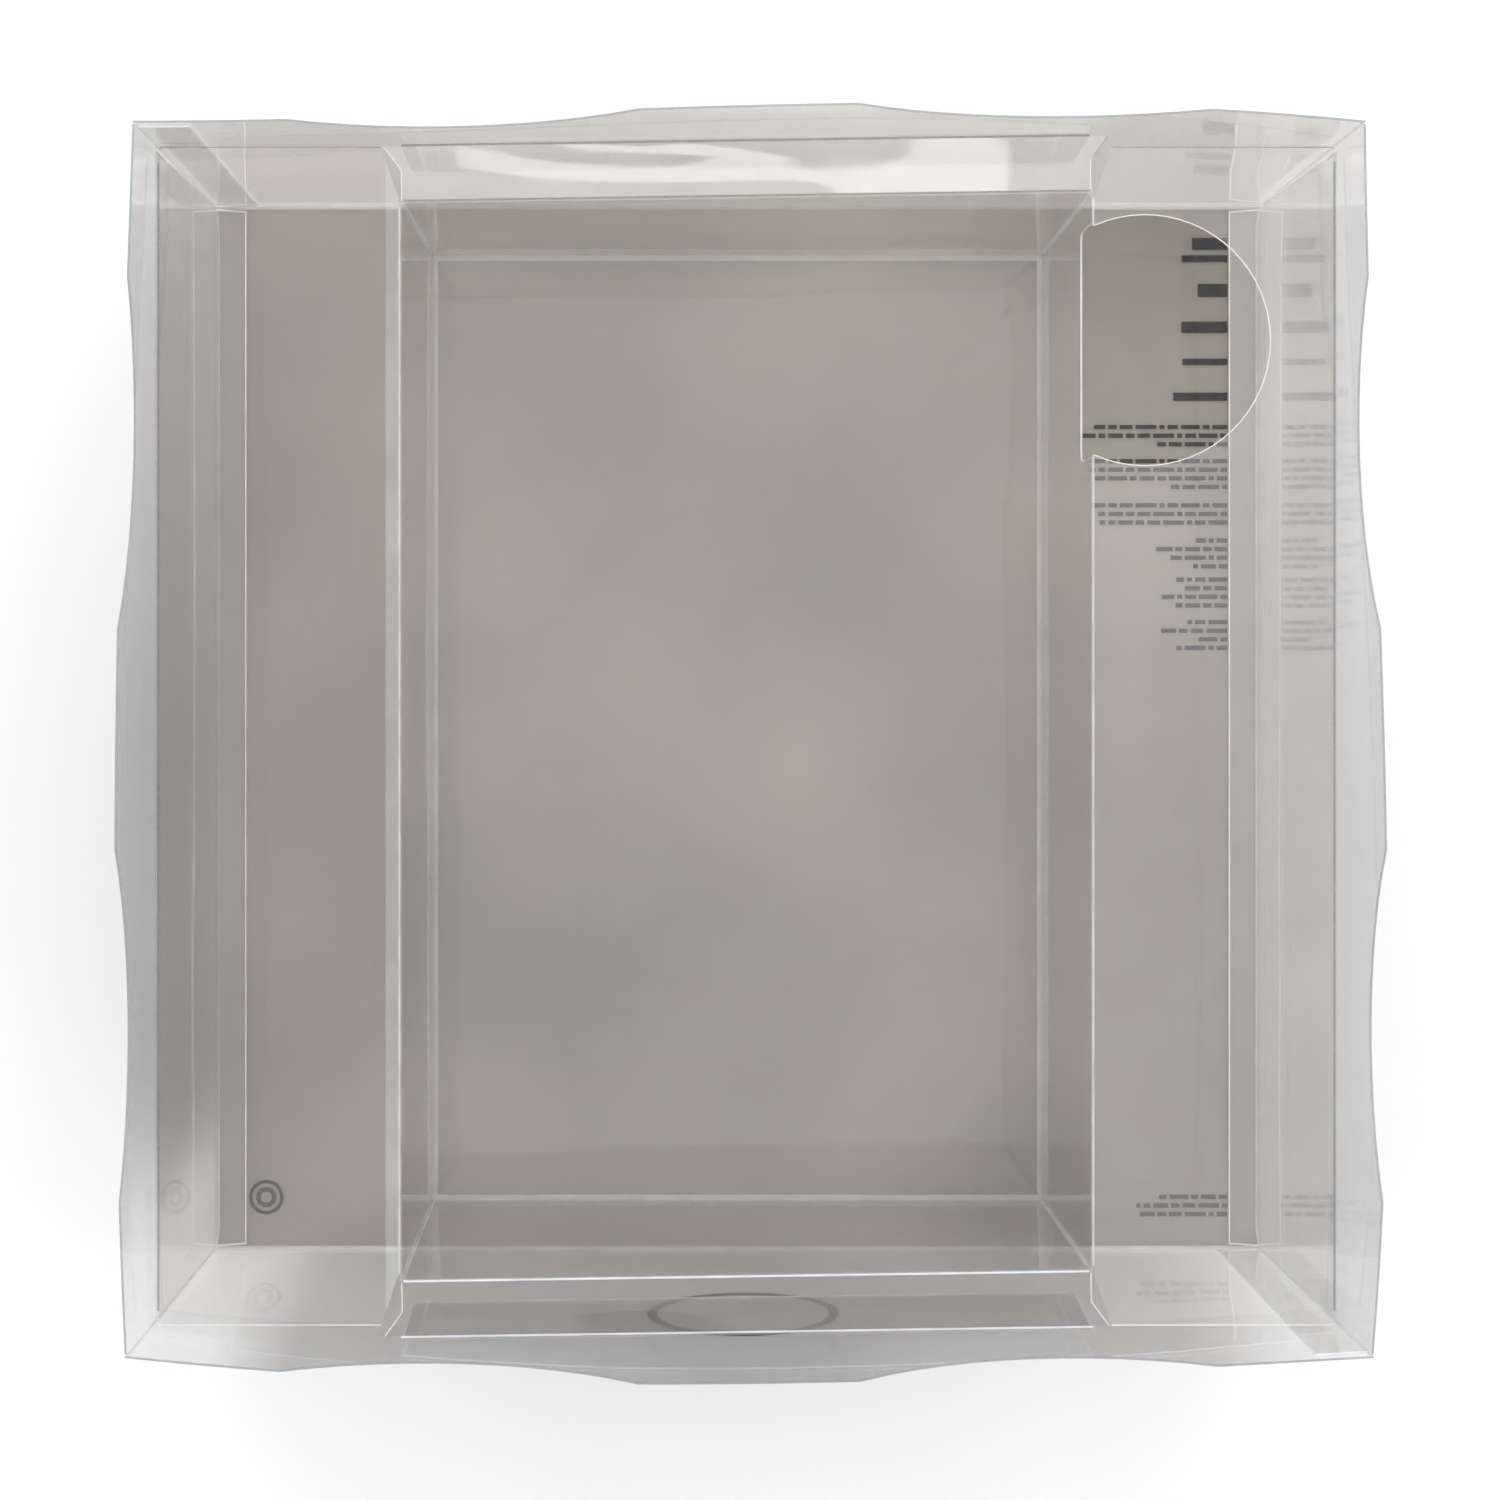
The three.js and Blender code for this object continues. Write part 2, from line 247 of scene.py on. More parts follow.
# The left wing: faint painted shade everywhere but its back end.
WING_PAINTED_SHADE = (Y, [(0.1, 0.965), (0.8, 0.97), (0.93, 1.0)])
# The pocket: painted shade, darker towards the front.
POCKET_PAINTED_SHADE = (Y, [(0.08, 0.95), (0.5, 0.98), (0.9, 1.0)])
# The left leg: painted shade through its middle, and a painted highlight at its front end.
LEG_PAINTED_SHADE = (Y, [(0.1, 1.0), (0.16, 0.82), (0.2, 0.76), (0.5, 0.745), (0.7, 0.86), (0.9, 0.935)])
LEG_PAINTED_LIGHT = (Y, [(0.0, 0.2), (0.1, 0.17), (0.16, 0.0)])

# What one face of each sheet lets through.
FRONT_TINT = (0.985, 0.983, 0.985)
LEFT_TINT = (0.985, 0.983, 0.987)
RIGHT_TINT = (0.94, 0.938, 0.942)
BACK_TINT = (0.925, 0.915, 0.895)
FLAP_TINT = (0.985, 0.985, 0.98)
BOTTOM_PET = pet("bottom_pet", (0.757, 0.738, 0.714), haze=0.01, drift=0.035, seed=0.1)
WALL_PET = {
    "front": pet("front_pet", FRONT_TINT, seed=3.1, painted_shade=FRONT_PAINTED_SHADE, painted_light=FRONT_PAINTED_LIGHT),
    "left": pet("left_pet", LEFT_TINT, seed=3.3, painted_shade=LEFT_PAINTED_SHADE, painted_light=LEFT_PAINTED_LIGHT),
    "right": pet("right_pet", RIGHT_TINT, seed=3.5, painted_shade=RIGHT_PAINTED_SHADE, painted_light=RIGHT_PAINTED_LIGHT),
    "back": pet("back_pet", BACK_TINT, seed=0.7),
}
FLAP_PET = {
    "left": pet("flap_pet", FLAP_TINT, seed=1.3),
    "right": pet("flap_right_pet", FLAP_TINT, seed=1.5, painted_light=FLAP_PAINTED_LIGHT),
}
WING_PET = {
    "left": pet("wing_left_pet", (0.985, 0.975, 0.965), haze=0.01, seed=1.9, painted_shade=WING_PAINTED_SHADE),
    "right": pet("wing_right_pet", (0.985, 0.978, 0.97), seed=2.1),
}
# A hazier finish for the left wing's flat border beside its fold: a painted highlight.
BEND_HIGHLIGHT_PET = pet("bend_highlight_pet", FLAP_TINT, haze=0.08, seed=4.7)
POCKET_PET = pet("pocket_pet", (0.985, 0.98, 0.972), seed=2.3, painted_shade=POCKET_PAINTED_SHADE)
LEG_TINT = grey(0.985)
LEG_PET = {
    "left": pet(
        "leg_left_pet", LEG_TINT, haze=0.015, seed=2.9, painted_shade=LEG_PAINTED_SHADE, painted_light=LEG_PAINTED_LIGHT
    ),
    "right": pet("leg_right_pet", LEG_TINT, haze=0.015, seed=2.5),
}
# The front ledge and tuck flap let less through than the back ones: painted shade.
END_PET = {
    "front": pet("end_front_pet", (0.885, 0.872, 0.868), haze=0.02, seed=3.7),
    "back": pet("end_back_pet", FLAP_TINT, haze=0.09, seed=4.1),
}

# Each edge finish below paints in the line that light draws along a cut edge, crease or fold: the pale ones are
# painted highlights and the dark ones painted shade.
CREASE_CLARITY = (0.985, 0.985, 0.98)
CUT_EDGE = edge_finish("cut_edge", (0.88, 0.93, 0.96), 0.6)
CUT_PAINTED_HIGHLIGHT = edge_finish("cut_painted_highlight", (0.97, 0.95, 0.90), 0.7)
CUT_RIM = edge_finish("cut_rim", (0.24, 0.29, 0.33), 0.7)
CUT_PAINTED_SHADE = edge_finish("cut_painted_shade", (0.34, 0.31, 0.33), 0.5)
CREASE = edge_finish("crease", (0.90, 0.90, 0.88), 0.16, CREASE_CLARITY)
FLOOR_CREASE = edge_finish("floor_crease", (0.96, 0.955, 0.93), 0.42, CREASE_CLARITY)
SOFT_CREASE = edge_finish("soft_crease", (0.95, 0.95, 0.93), 0.16, CREASE_CLARITY)
FOLD_PAINTED_LIGHT = edge_finish("fold_painted_light", grey(0.92), 0.35)
FOLD_PAINTED_HIGHLIGHT = edge_finish("fold_painted_highlight", (0.88, 0.93, 1.0), 0.8)
FOLD_PAINTED_SHADE = edge_finish("fold_painted_shade", (0.30, 0.28, 0.29), 0.4)
INK = ink_finish("ink", (0.02, 0.02, 0.022), 0.78)
TEXT_INK = ink_finish("text_ink", (0.03, 0.03, 0.032), 0.72)
PALE_INK = ink_finish("pale_ink", (0.05, 0.05, 0.055), 0.7)
WALL_INK = ink_finish("wall_ink", (0.03, 0.03, 0.035), 0.98)


# ---- Sheets --------------------------------------------------------------------------------

# The largest turn between two faces that still look like one smooth surface.
SMOOTH_ANGLE = math.radians(30)
# The most that a CAD panel's triangles turn within one flat face.
FLAT_ANGLE = math.radians(0.2)
# How near an edge of the panel's box a side face is to count as that edge.
FOLD_REACH = 3.6 * MM
# Widths of the strip beside a cut edge, which carries the edge's painted line, and of the left
# wing's border beside its fold, which carries a painted highlight.
STRIP = 0.28 * MM
FLAP_STRIP = 0.5 * MM
HIGHLIGHT_BORDER = 4 * MM
# Where each panel's edges are folds and not cuts: the direction an edge faces, as (axis, sign).
OUTWARD = {"left": (0, -1), "right": (0, 1), "front": (1, -1), "back": (1, 1)}
# Panels whose cut edges near the back take painted shade, and panels whose cut edges take a painted highlight.
PAINTED_SHADE_BACK = ("wing_left", "wing_right", "ledge_back")
PAINTED_HIGHLIGHT_CUTS = (
    "wing_right", "glue_flap_left", "glue_flap_right", "ledge_front", "tuck_flap_front",
)
# A panel's material slots; those of its cut edges, folds and the left wing's border carry
# painted light and shade.
FACE, CUT, FOLD, PAINTED_BEND_LIGHT, SHADED_CUT = range(5)


def new_object(name, bm, materials, body):
    mesh = bpy.data.meshes.new(name)
    bmesh.ops.recalc_face_normals(bm, faces=bm.faces)
    for face in bm.faces:
        face.smooth = True
    for edge in bm.edges:
        edge.smooth = len(edge.link_faces) == 2 and edge.calc_face_angle(0) < SMOOTH_ANGLE
    bm.to_mesh(mesh)
    bm.free()
    obj = bpy.data.objects.new(name, mesh)
    bpy.context.collection.objects.link(obj)
    for material in materials:
        mesh.materials.append(material)
    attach(obj, body)
    return obj


def cut_plane(bm, point, normal):
    geometry = bm.verts[:] + bm.edges[:] + bm.faces[:]
    bmesh.ops.bisect_plane(bm, geom=geometry, plane_co=point, plane_no=normal)


def slice_grid(bm, low, high, spacing):
    """Cuts the mesh on planes square to each axis, so that its flat faces can wave."""
    for axis in range(3):
        normal = Vector([1.0 if i == axis else 0.0 for i in range(3)])
        span = high[axis] - low[axis]
        count = int(span / spacing)
        for i in range(1, count):
            cut_plane(bm, normal * (low[axis] + span * i / count), normal)


def thin_axis(low, high):
    return min(range(3), key=lambda i: high[i] - low[i])


def ripples(node):
    """A smooth wave over a panel that dies out at its edges: call it with a point for its height
    there, from about -1 to 1."""
    low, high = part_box(node)
    size = high - low
    thin = thin_axis(low, high)
    seed = sum(ord(c) for c in node) % 17

    def at(point):
        u, v = [min(max((point[i] - low[i]) / size[i], 0), 1) for i in range(3) if i != thin]
        window = (math.sin(math.pi * u) * math.sin(math.pi * v)) ** 1.5
        wave = math.sin(5.1 * u + 2.3 * v + seed) + 0.6 * math.sin(9.7 * v - 3.1 * u + 2 * seed)
        return window * (wave + 0.4 * math.sin(13 * u + 11 * v + 3 * seed)) / 2

    return at


def folds_of(node):
    side = next((w for w in reversed(node.split("_")) if w in OUTWARD), None)
    if node in ("bottom_panel", "pocket_floor"):
        return list(OUTWARD.values())
    if node.startswith("pocket_wall"):
        return [(2, -1), (2, 1)]
    if node.startswith("wall"):
        return [(2, -1)] + [(1 - OUTWARD[side][0], s) for s in (-1, 1)]
    if node.startswith(("leg", "tuck_flap")):
        return [(2, 1)]
    if node.startswith(("wing", "ledge")):
        axis = OUTWARD[side][0]
        return [(axis, -1), (axis, 1)]
    return [OUTWARD[side]]


def on_fold(node, part, low, high):
    at = part.calc_center_median()
    for axis, sign in folds_of(node):
        edge = high[axis] if sign > 0 else low[axis]
        if part.normal[axis] * sign > 0.9 and abs(at[axis] - edge) < FOLD_REACH:
            return True
    return False


def rim_strips(bm, node, thin, low, high):
    """Marks a narrow strip of both faces beside each cut edge to carry the edge's painted line."""
    width = FLAP_STRIP if node.startswith("glue_flap") else STRIP
    for sign in (-1, 1):
        faces = [f for f in bm.faces if f.normal[thin] * sign > 0.5]
        made = bmesh.ops.inset_region(bm, faces=faces, thickness=width, use_even_offset=True)
        for strip in made["faces"]:
            sides = [f for e in strip.edges for f in e.link_faces if abs(f.normal[thin]) < 0.5]
            if sides and not on_fold(node, sides[0], low, high):
                strip.material_index = CUT


# The painted line on a panel's cut edges: a highlight on some panels, shade on the walls' rims.
def cut_finish(node):
    if node in PAINTED_HIGHLIGHT_CUTS:
        return CUT_PAINTED_HIGHLIGHT
    return CUT_RIM if node.startswith("wall") else CUT_EDGE


def sheet(node, face, spacing=12, swell=0.0, lift=False):
    """A finer copy of a CAD panel with the waves of thin sheet, whose cut edges have their own
    material, painted with the line that light draws there. spacing is that of its mesh and swell
    is how far it waves, in mm, and lift keeps the waves on its upper side."""
    low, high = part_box(node)
    thin = thin_axis(low, high)
    wave = ripples(node)
    bm = bmesh.new()
    bm.from_mesh(frame["nodes"][node].data)
    bmesh.ops.remove_doubles(bm, verts=bm.verts, dist=1e-6)
    bmesh.ops.dissolve_limit(bm, angle_limit=FLAT_ANGLE, verts=bm.verts, edges=bm.edges)
    bm.normal_update()
    rim_strips(bm, node, thin, low, high)
    slice_grid(bm, low, high, spacing * MM)
    # The left wing's border, which takes the painted highlight.
    if node == "wing_left":
        cut_plane(bm, (high.x - HIGHLIGHT_BORDER, 0, 0), (1, 0, 0))
    bmesh.ops.triangulate(bm, faces=[f for f in bm.faces if len(f.verts) > 4])
    bm.normal_update()
    for part in bm.faces:
        if abs(part.normal[thin]) < 0.5:
            part.material_index = FOLD if on_fold(node, part, low, high) else CUT
    for vert in bm.verts:
        move = swell * MM * wave(vert.co)
        vert.co[thin] += abs(move) if lift else move
    for part in bm.faces:
        middle = part.calc_center_median()
        # The left wing's border beside its fold: painted highlight.
        if part.material_index == FACE and node == "wing_left" and high.x - middle.x < HIGHLIGHT_BORDER:
            part.material_index = PAINTED_BEND_LIGHT
        # Cut edges near the back of some panels take painted shade.
        if part.material_index == CUT and node in PAINTED_SHADE_BACK and high.y - middle.y < FOLD_REACH:
            part.material_index = SHADED_CUT
    # The slots' finishes: the face, painted lines on cuts and folds, the wing border's painted highlight and
    # painted shade on cuts at the back.
    finishes = [face, cut_finish(node), CREASE, BEND_HIGHLIGHT_PET, CUT_PAINTED_SHADE]
    obj = new_object(f"{node}_sheet", bm, finishes, BODY[node])
    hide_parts(node)
    return obj


# The tray.
WALL_SWELL = 0.5
sheet("bottom_panel", BOTTOM_PET, spacing=20)
for wall in ("front", "back", "left", "right"):
    sheet(f"wall_{wall}", WALL_PET[wall], swell=WALL_SWELL)
for side in ("left", "right"):
    sheet(f"glue_flap_{side}", FLAP_PET[side], spacing=20)
for corner in ("back_left", "front_right"):
    sheet(f"seam_tab_{corner}", FLAP_PET["left"])

# The insert.
sheet("pocket_floor", POCKET_PET, spacing=14, swell=0.5, lift=True)
for wall in ("front", "back", "left", "right"):
    sheet(f"pocket_wall_{wall}", POCKET_PET, swell=0.5)
for side in ("left", "right"):
    sheet(f"wing_{side}", WING_PET[side], swell=0.5)
    sheet(f"leg_{side}", LEG_PET[side], spacing=14, swell=0.2)
for end in ("front", "back"):
    sheet(f"ledge_{end}", END_PET[end], spacing=6, swell=0.3)
    sheet(f"tuck_flap_{end}", END_PET[end], swell=0.2)


# ---- Creases -------------------------------------------------------------------------------

# Radii of the hollow bends and half sizes of the pressed ones, in mm.
BOTTOM_RADIUS = 1.3
CORNER_RADIUS = 0.6
POCKET_RADIUS = 2.0
FOLD_HALF = (0.36, 0.32)
# The gap between a floor's edge and the inner face of its wall.
FLOOR_GAP = 0.4 * MM
# Stations up each corner of the tray, and how far they stay from its bottom and its rim.
CORNER_STEPS = 8
CORNER_FOOT = 2 * MM
CORNER_TOP = MM


def sweep(name, path, section, material, body):
    """A closed solid through the stations of path, each (origin, a, b): section's points lie at
    origin + a * s + b * t."""
    bm = bmesh.new()
    rings = []
    for origin, a, b in path:
        place, a, b = Vector(origin), Vector(a), Vector(b)
        rings.append([bm.verts.new(place + a * s + b * t) for s, t in section])
    count = len(section)
    for one, two in zip(rings, rings[1:]):
        for i in range(count):
            bm.faces.new([one[i], one[(i + 1) % count], two[(i + 1) % count], two[i]])
    bm.faces.new(rings[0])
    bm.faces.new(reversed(rings[-1]))
    return new_object(name, bm, [material], body)


def fillet(radius, sink=0.12, steps=6):
    """The section of a crease seen from inside a corner: a hollow arc, sunk a little in both
    sheets, in mm."""
    points = [(-sink, -sink), (radius, -sink)]
    for i in range(steps + 1):
        turn = math.pi / 2 * i / steps
        points.append((radius - radius * math.sin(turn), radius - radius * math.cos(turn)))
    points.append((-sink, radius))
    return points


def bead(half_width, half_height, steps=10):
    """The section of a crease that stands a little proud of the sheets it joins, in mm."""
    turns = [2 * math.pi * i / steps for i in range(steps)]
    return [(half_width * math.cos(turn), half_height * math.sin(turn)) for turn in turns]


def wall_surface(node, inner):
    """Finds points on a tray wall: call it with (run, height) for the point on its inner or
    outer face."""
    bm = bmesh.new()
    bm.from_mesh(frame["nodes"][node].data)
    tree = BVHTree.FromBMesh(bm)
    bm.free()
    low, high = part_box(node)
    axis = thin_axis(low, high)
    sign = 1 if low[axis] + high[axis] > 0 else -1
    direction = Vector((0, 0, 0))
    direction[axis] = sign if inner else -sign
    # The ray starts inside the tray or well outside it, in metres from its middle.
    start_at = sign * (0.1 if inner else 0.3)

    def at(run, z):
        start = Vector((0, 0, z))
        start[axis] = start_at
        start[1 - axis] = run
        return tree.ray_cast(start, direction)[0]

    return at


def floor_creases(name, node, radius, finish, body):
    """Soft bends where a floor turns up into its four walls."""
    x, y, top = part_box(node)[1]
    near, far = -y - FLOOR_GAP, y + FLOOR_GAP
    left, right = -x - FLOOR_GAP, x + FLOOR_GAP
    runs = {
        "front": ([(-x, near, top), (x, near, top)], (0, MM, 0)),
        "back": ([(-x, far, top), (x, far, top)], (0, -MM, 0)),
        "left": ([(left, -y, top), (left, y, top)], (MM, 0, 0)),
        "right": ([(right, -y, top), (right, y, top)], (-MM, 0, 0)),
    }
    for side, (ends, inward) in runs.items():
        path = [(end, inward, (0, 0, MM)) for end in ends]
        sweep(f"crease_{name}_{side}", path, fillet(radius), finish, body)


def corner_creases():
    """The upright bends where the tray's walls meet."""
    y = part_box("bottom_panel")[1].y
    for end, sy in (("front", -1), ("back", 1)):
        face = wall_surface(f"wall_{end}", inner=True)
        for side, sx in (("left", -1), ("right", 1)):
            flank = wall_surface(f"wall_{side}", inner=True)
            path = []
            for i in range(CORNER_STEPS + 1):
                z = CORNER_FOOT + (RIM - CORNER_FOOT - CORNER_TOP) * i / CORNER_STEPS
                corner_x = flank(sy * (y - 2 * MM), z).x
                corner_y = face(corner_x - sx * 2 * MM, z).y
                path.append(((corner_x, corner_y, z), (-sx * MM, 0, 0), (0, -sy * MM, 0)))
            section = fillet(CORNER_RADIUS)
            # The corner bend takes a pale finish, a painted highlight.
            sweep(f"crease_corner_{end}_{side}", path, section, FLOOR_CREASE, "tray")


def fold_bead(name, start, end, across, bodies, material):
    """A pressed crease between two panels that turn about it. across points from the first body
    to the second."""
    across = Vector(across).normalized()
    path = [(point, across * MM, (0, 0, MM)) for point in (start, end)]
    obj = sweep(name, path, bead(*FOLD_HALF), material, bodies[0])
    # The crease lies between two bodies, so it is given no parent.
    obj.parent = None
    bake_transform(obj)


def hole_span():
    """Where the finger hole starts and ends along the right wing's fold."""
    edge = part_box("wing_right")[0].x
    mesh = frame["nodes"]["wing_right"].data
    ys = sorted(v.co.y for v in mesh.vertices if abs(v.co.x - edge) < 0.05 * MM)
    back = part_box("pocket_floor")[1].y
    gaps = [(b - a, a, b) for a, b in zip(ys, ys[1:]) if 0 < a < b < back]
    return max(gaps)[1:]


def side_folds(side, sx, joints, level):
    """The folds between the pocket and a wing, and between the wing and its leg."""
    x = abs(joints[f"wing_{side}_fold"]["pos_m"][0])
    low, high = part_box(f"pocket_wall_{side}")
    front, back = low.y + 2 * MM, high.y - 2 * MM
    spans = [(front, back)]
    if side == "right":
        hole = hole_span()
        spans = [(front, hole[0]), (hole[1], back)]
    for i, span in enumerate(spans):
        name = f"fold_wing_{side}_{i}" if len(spans) > 1 else f"fold_wing_{side}"
        ends = [(sx * x, y, level) for y in span]
        # The wing's fold takes a painted highlight.
        fold_bead(name, *ends, (sx, 0, 0), ("insert", f"wing_{side}"), FOLD_PAINTED_LIGHT)
    x = abs(joints[f"leg_{side}_fold"]["pos_m"][0])
    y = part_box(f"leg_{side}")[1].y - 3 * MM
    ends = [(sx * x, s * y, level) for s in (-1, 1)]
    bodies = (f"wing_{side}", f"leg_{side}")
    # The leg's fold takes painted shade.
    fold_bead(f"fold_leg_{side}", *ends, (sx, 0, 0), bodies, FOLD_PAINTED_SHADE)


def end_folds(end, joints, level):
    """The folds between the pocket and a ledge, and between the ledge and its tuck flap."""
    # The back folds take painted shade and the front ones a painted highlight.
    material = FOLD_PAINTED_SHADE if end == "back" else FOLD_PAINTED_HIGHLIGHT
    ledge, flap = f"ledge_{end}", f"tuck_flap_{end}"
    for first, second, widest in (("insert", ledge, "pocket_floor"), (ledge, flap, flap)):
        joint = joints[f"{second}_fold"]
        at = Vector(joint["pos_m"])
        axis = Vector(joint["axis"]).normalized()
        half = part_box(widest)[1].x
        ends = [(at.x + s * axis.x * half, at.y + s * axis.y * half, level) for s in (-1, 1)]
        across = Vector((0, 0, 1)).cross(axis)
        fold_bead(f"fold_{second}", *ends, across, (first, second), material)


def insert_folds():
    joints = {j["name"]: j for j in frame["joints"]}
    level = DECK - SHEET / 2
    for side, sx in (("left", -1), ("right", 1)):
        side_folds(side, sx, joints, level)
    for end in ("front", "back"):
        end_folds(end, joints, level)


# The bends' pale finishes are painted highlights.
floor_creases("bottom", "bottom_panel", BOTTOM_RADIUS, FLOOR_CREASE, "tray")
corner_creases()
floor_creases("pocket", "pocket_floor", POCKET_RADIUS, SOFT_CREASE, "insert")
insert_folds()


# ---- Print ---------------------------------------------------------------------------------

PRINT_LOW = 0.10 * MM
PRINT_HIGH = 0.14 * MM
PRINT_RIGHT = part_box("glue_flap_right")[0].x - 0.3 * MM
# Plain marks at the right of the bottom: (y of the middle, width, height), in mm.
MARKS = [
    (170.6, 12.4, 4.2),
    (165.4, 16.0, 2.4),
    (154.2, 10.4, 4.6),
    (141.2, 16.2, 4.0),
    (129.0, 15.8, 2.2),
    (116.7, 19.0, 2.9),
]
# Lines of plain bars in place of small print: (y of the first, widths), in mm.
LINES = [
    (106.0, [47, 51, 26]),
    (94.0, [50, 49, 48, 21]),
    (78.4, [48, 47, 45]),
    (66.0, [11, 25, 20, 12]),
    (52.2, [18, 15, 23, 19]),
    (37.2, [14, 24, 12, 18]),
    (-165.5, [24, 32, 32.5]),
]
LINE_PITCH = 3.03
BAR_HEIGHT = 1.5
BAR_LENGTHS = (5.2, 2.4, 6.6, 3.7, 1.8, 7.4, 4.5, 3.0)
BAR_GAP = 1.05
# The round marks: the middle of the one on the bottom with the radii and widths of its ring and
# its dot, and the height, radii and width of the ring on the front wall's outer face. Its
# distance from that wall and its thickness are in mm.
BOTTOM_RING = (-166.2 * MM, -165.6 * MM)
BOTTOM_RING_RADII = (6.1 * MM, 6.1 * MM)
BOTTOM_RING_WIDTH = 1.2 * MM
BOTTOM_DOT_RADII = (3.6 * MM, 3.6 * MM)
BOTTOM_DOT_WIDTH = 1.6 * MM
WALL_RING_HEIGHT = 80 * MM
WALL_RING_RADII = (31.3 * MM, 25 * MM)
WALL_RING_WIDTH = 3.3 * MM
WALL_RING_OFF = 0.3
WALL_RING_THICK = 0.06


def bar(bm, right, y, width, height):
    """A printed bar on the bottom, from its right end in metres and the rest in mm."""
    for vert in bmesh.ops.create_cube(bm, size=1)["verts"]:
        vert.co.x = right - width * MM if vert.co.x < 0 else right
        vert.co.y = (y - height / 2) * MM if vert.co.y < 0 else (y + height / 2) * MM
        vert.co.z = PRINT_LOW if vert.co.z < 0 else PRINT_HIGH


def bottom_print():
    bm = bmesh.new()
    for y, width, height in MARKS:
        bar(bm, PRINT_RIGHT, y, width, height)
    new_object("bottom_print_marks", bm, [INK], "tray")
    bm = bmesh.new()
    turn = 0
    for first, widths in LINES:
        for row, width in enumerate(widths):
            left = 0.0
            while left < width - 1:
                length = min(BAR_LENGTHS[turn % len(BAR_LENGTHS)], width - left)
                turn += 1
                y = first - row * LINE_PITCH
                bar(bm, PRINT_RIGHT - left * MM, y, length, BAR_HEIGHT)
                left += length + BAR_GAP
    new_object("bottom_print_bars", bm, [TEXT_INK], "tray")


def ring(name, point, radii, width, steps, material):
    """A flat printed ring. point gives the place of (run, up) on the surface, and of the print's
    own outer face there where raised is 1."""
    bm = bmesh.new()
    rows = []
    for i in range(steps):
        angle = 2 * math.pi * i / steps
        row = []
        for shrink, raised in ((0, 0), (width, 0), (width, 1), (0, 1)):
            run = (radii[0] - shrink) * math.cos(angle)
            up = (radii[1] - shrink) * math.sin(angle)
            row.append(bm.verts.new(point(run, up, raised)))
        rows.append(row)
    for i in range(steps):
        one, two = rows[i], rows[(i + 1) % steps]
        for k in range(4):
            bm.faces.new([one[k], one[(k + 1) % 4], two[(k + 1) % 4], two[k]])
    new_object(name, bm, [material], "tray")


def rings():
    x, y = BOTTOM_RING

    def on_bottom(run, up, raised):
        return Vector((x + run, y + up, PRINT_HIGH if raised else PRINT_LOW))

    ring("bottom_print_ring", on_bottom, BOTTOM_RING_RADII, BOTTOM_RING_WIDTH, 48, INK)
    ring("bottom_print_dot", on_bottom, BOTTOM_DOT_RADII, BOTTOM_DOT_WIDTH, 32, PALE_INK)
    outer = wall_surface("wall_front", inner=False)
    wave = ripples("wall_front")

    def on_wall(run, up, raised):
        place = outer(run, WALL_RING_HEIGHT + up)
        out = WALL_SWELL * wave(place) + WALL_RING_OFF - WALL_RING_THICK * raised
        place.y += out * MM
        return place

    ring("wall_print_ring", on_wall, WALL_RING_RADII, WALL_RING_WIDTH, 96, WALL_INK)


bottom_print()
rings()


# ---- Studio --------------------------------------------------------------------------------

# Softboxes all round, and a narrow one whose mirror image lies on the back ledge: name, place
# and size in metres, power in watts.
LIGHTS = [
    ("softbox_left", (-1.7, -0.3, 1.6), (2.2, 2.4), 17),
    ("softbox_right", (1.7, 0.2, 1.6), (2.2, 2.4), 16),
    ("softbox_front", (0.2, -1.8, 1.4), (2.6, 1.8), 12),
    ("softbox_back", (0.0, 1.8, 1.6), (2.6, 1.8), 22),
    ("softbox_over", (0.0, 0.5, 2.4), (3.0, 2.6), 18),
    ("strip_back", (0.02, 0.362, 1.2), (0.37, 0.03), 0.11),
]
LIGHTS_AIM = Vector((0, 0, 0.05))
WORLD_COLOR = (0.97, 0.98, 1.0, 1)
WORLD_STRENGTH = 0.42
FLOOR_HALF = 6.0
FLOOR_LEVEL = -0.4 * MM
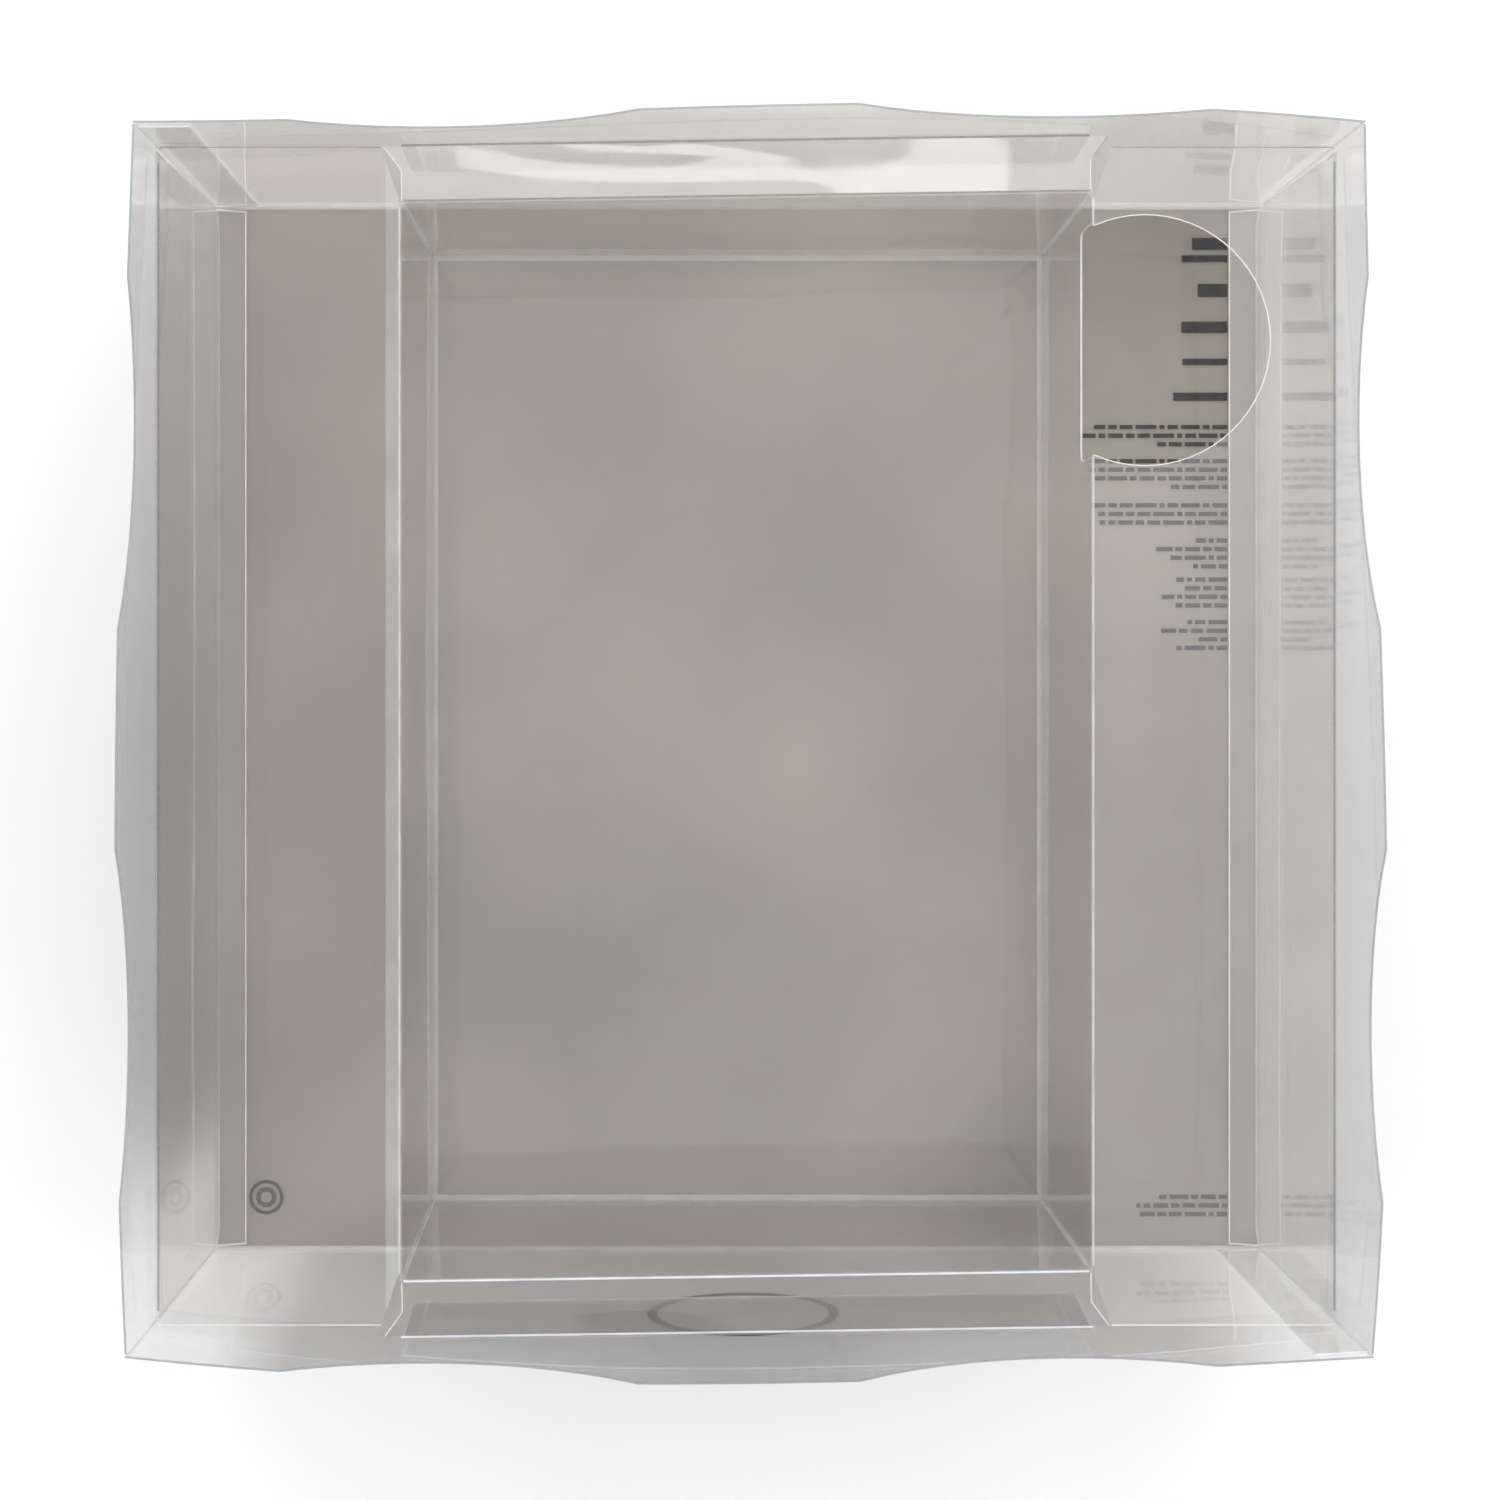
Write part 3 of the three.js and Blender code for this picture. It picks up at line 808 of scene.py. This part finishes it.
CAMERA_PLACE = (-0.0238, 0.0228, 1.052)
CAMERA_SENSOR = 36
CAMERA_LENS = 71.58
CAMERA_SHIFT = (0.0533, -0.058)


def floor_finish():
    n = Nodes("studio_floor")
    grain = n.noise(6, 3)
    paper = n.add("BsdfPrincipled", Roughness=0.9)
    n.set(paper, "Base Color", n.ramp(grain, [(0.3, grey(0.90)), (0.7, grey(0.92))]))
    return n.finish(paper.outputs[0])


def studio():
    half = FLOOR_HALF
    mesh = bpy.data.meshes.new("floor")
    corners = [(-half, -half), (half, -half), (half, half), (-half, half)]
    mesh.from_pydata([(x, y, FLOOR_LEVEL) for x, y in corners], [], [(0, 1, 2, 3)])
    floor = bpy.data.objects.new("floor", mesh)
    mesh.materials.append(floor_finish())
    bpy.context.collection.objects.link(floor)
    world = bpy.data.worlds.new("studio")
    world.use_nodes = True
    sky = world.node_tree.nodes["Background"].inputs
    sky["Color"].default_value = WORLD_COLOR
    sky["Strength"].default_value = WORLD_STRENGTH
    bpy.context.scene.world = world


def softbox(name, place, size, power):
    light = bpy.data.lights.new(name, "AREA")
    light.shape = "RECTANGLE"
    light.size, light.size_y = size
    light.energy = power
    obj = bpy.data.objects.new(name, light)
    bpy.context.collection.objects.link(obj)
    obj.location = place
    obj.rotation_euler = (LIGHTS_AIM - Vector(place)).to_track_quat("-Z", "Y").to_euler()


studio()
for light in LIGHTS:
    softbox(*light)

camera_data = bpy.data.cameras.new("camera")
camera_data.sensor_width = CAMERA_SENSOR
camera_data.lens = CAMERA_LENS
camera_data.shift_x, camera_data.shift_y = CAMERA_SHIFT
camera = bpy.data.objects.new("camera", camera_data)
bpy.context.collection.objects.link(camera)
camera.location = CAMERA_PLACE
bpy.context.scene.camera = camera

scene = bpy.context.scene
scene.view_settings.view_transform = "Standard"
scene.view_settings.look = "None"
# Bounces enough to see through every sheet in the stack.
scene.cycles.max_bounces = 8
scene.cycles.glossy_bounces = 6
scene.cycles.diffuse_bounces = 3
scene.cycles.transparent_max_bounces = 48
